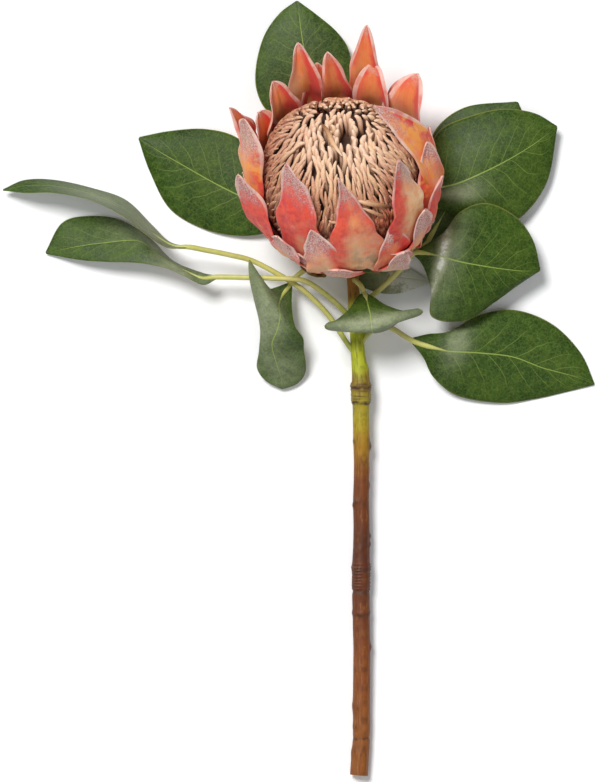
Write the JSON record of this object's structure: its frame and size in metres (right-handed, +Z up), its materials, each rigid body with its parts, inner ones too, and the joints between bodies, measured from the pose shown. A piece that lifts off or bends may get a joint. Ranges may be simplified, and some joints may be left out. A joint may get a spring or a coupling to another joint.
{
  "type": "king protea flower",
  "caption": "Cut king protea stem lying down: coral bract cup round a dome of tan styles, leathery leaves on long stalks, woody stem.",
  "frame": {"origin": "centre of the flat spot on which the back of the flower head rests", "axes": "+Y along the stem towards the flower head, +Z up from the surface it lies on, +X to the stem's right seen from above"},
  "size_m": [0.4258, 0.5575, 0.1483],
  "materials": {
    "bark": "satin",
    "leaf": "satin",
    "bract": "matte",
    "style": "matte"
  },
  "bodies": {
    "root": {"stem": "bark", "bracts": "bract", "styles": "style", "leaf_left_upper": "leaf", "leaf_left_lower": "leaf", "leaf_left_hanging": "leaf", "leaf_back_left": "leaf", "leaf_back_top": "leaf", "leaf_back_right": "leaf", "leaf_right_upper": "leaf", "leaf_right_middle": "leaf", "leaf_right_lower": "leaf", "leaf_under_head": "leaf", "leaf_front": "leaf"}
  },
  "joints": []
}
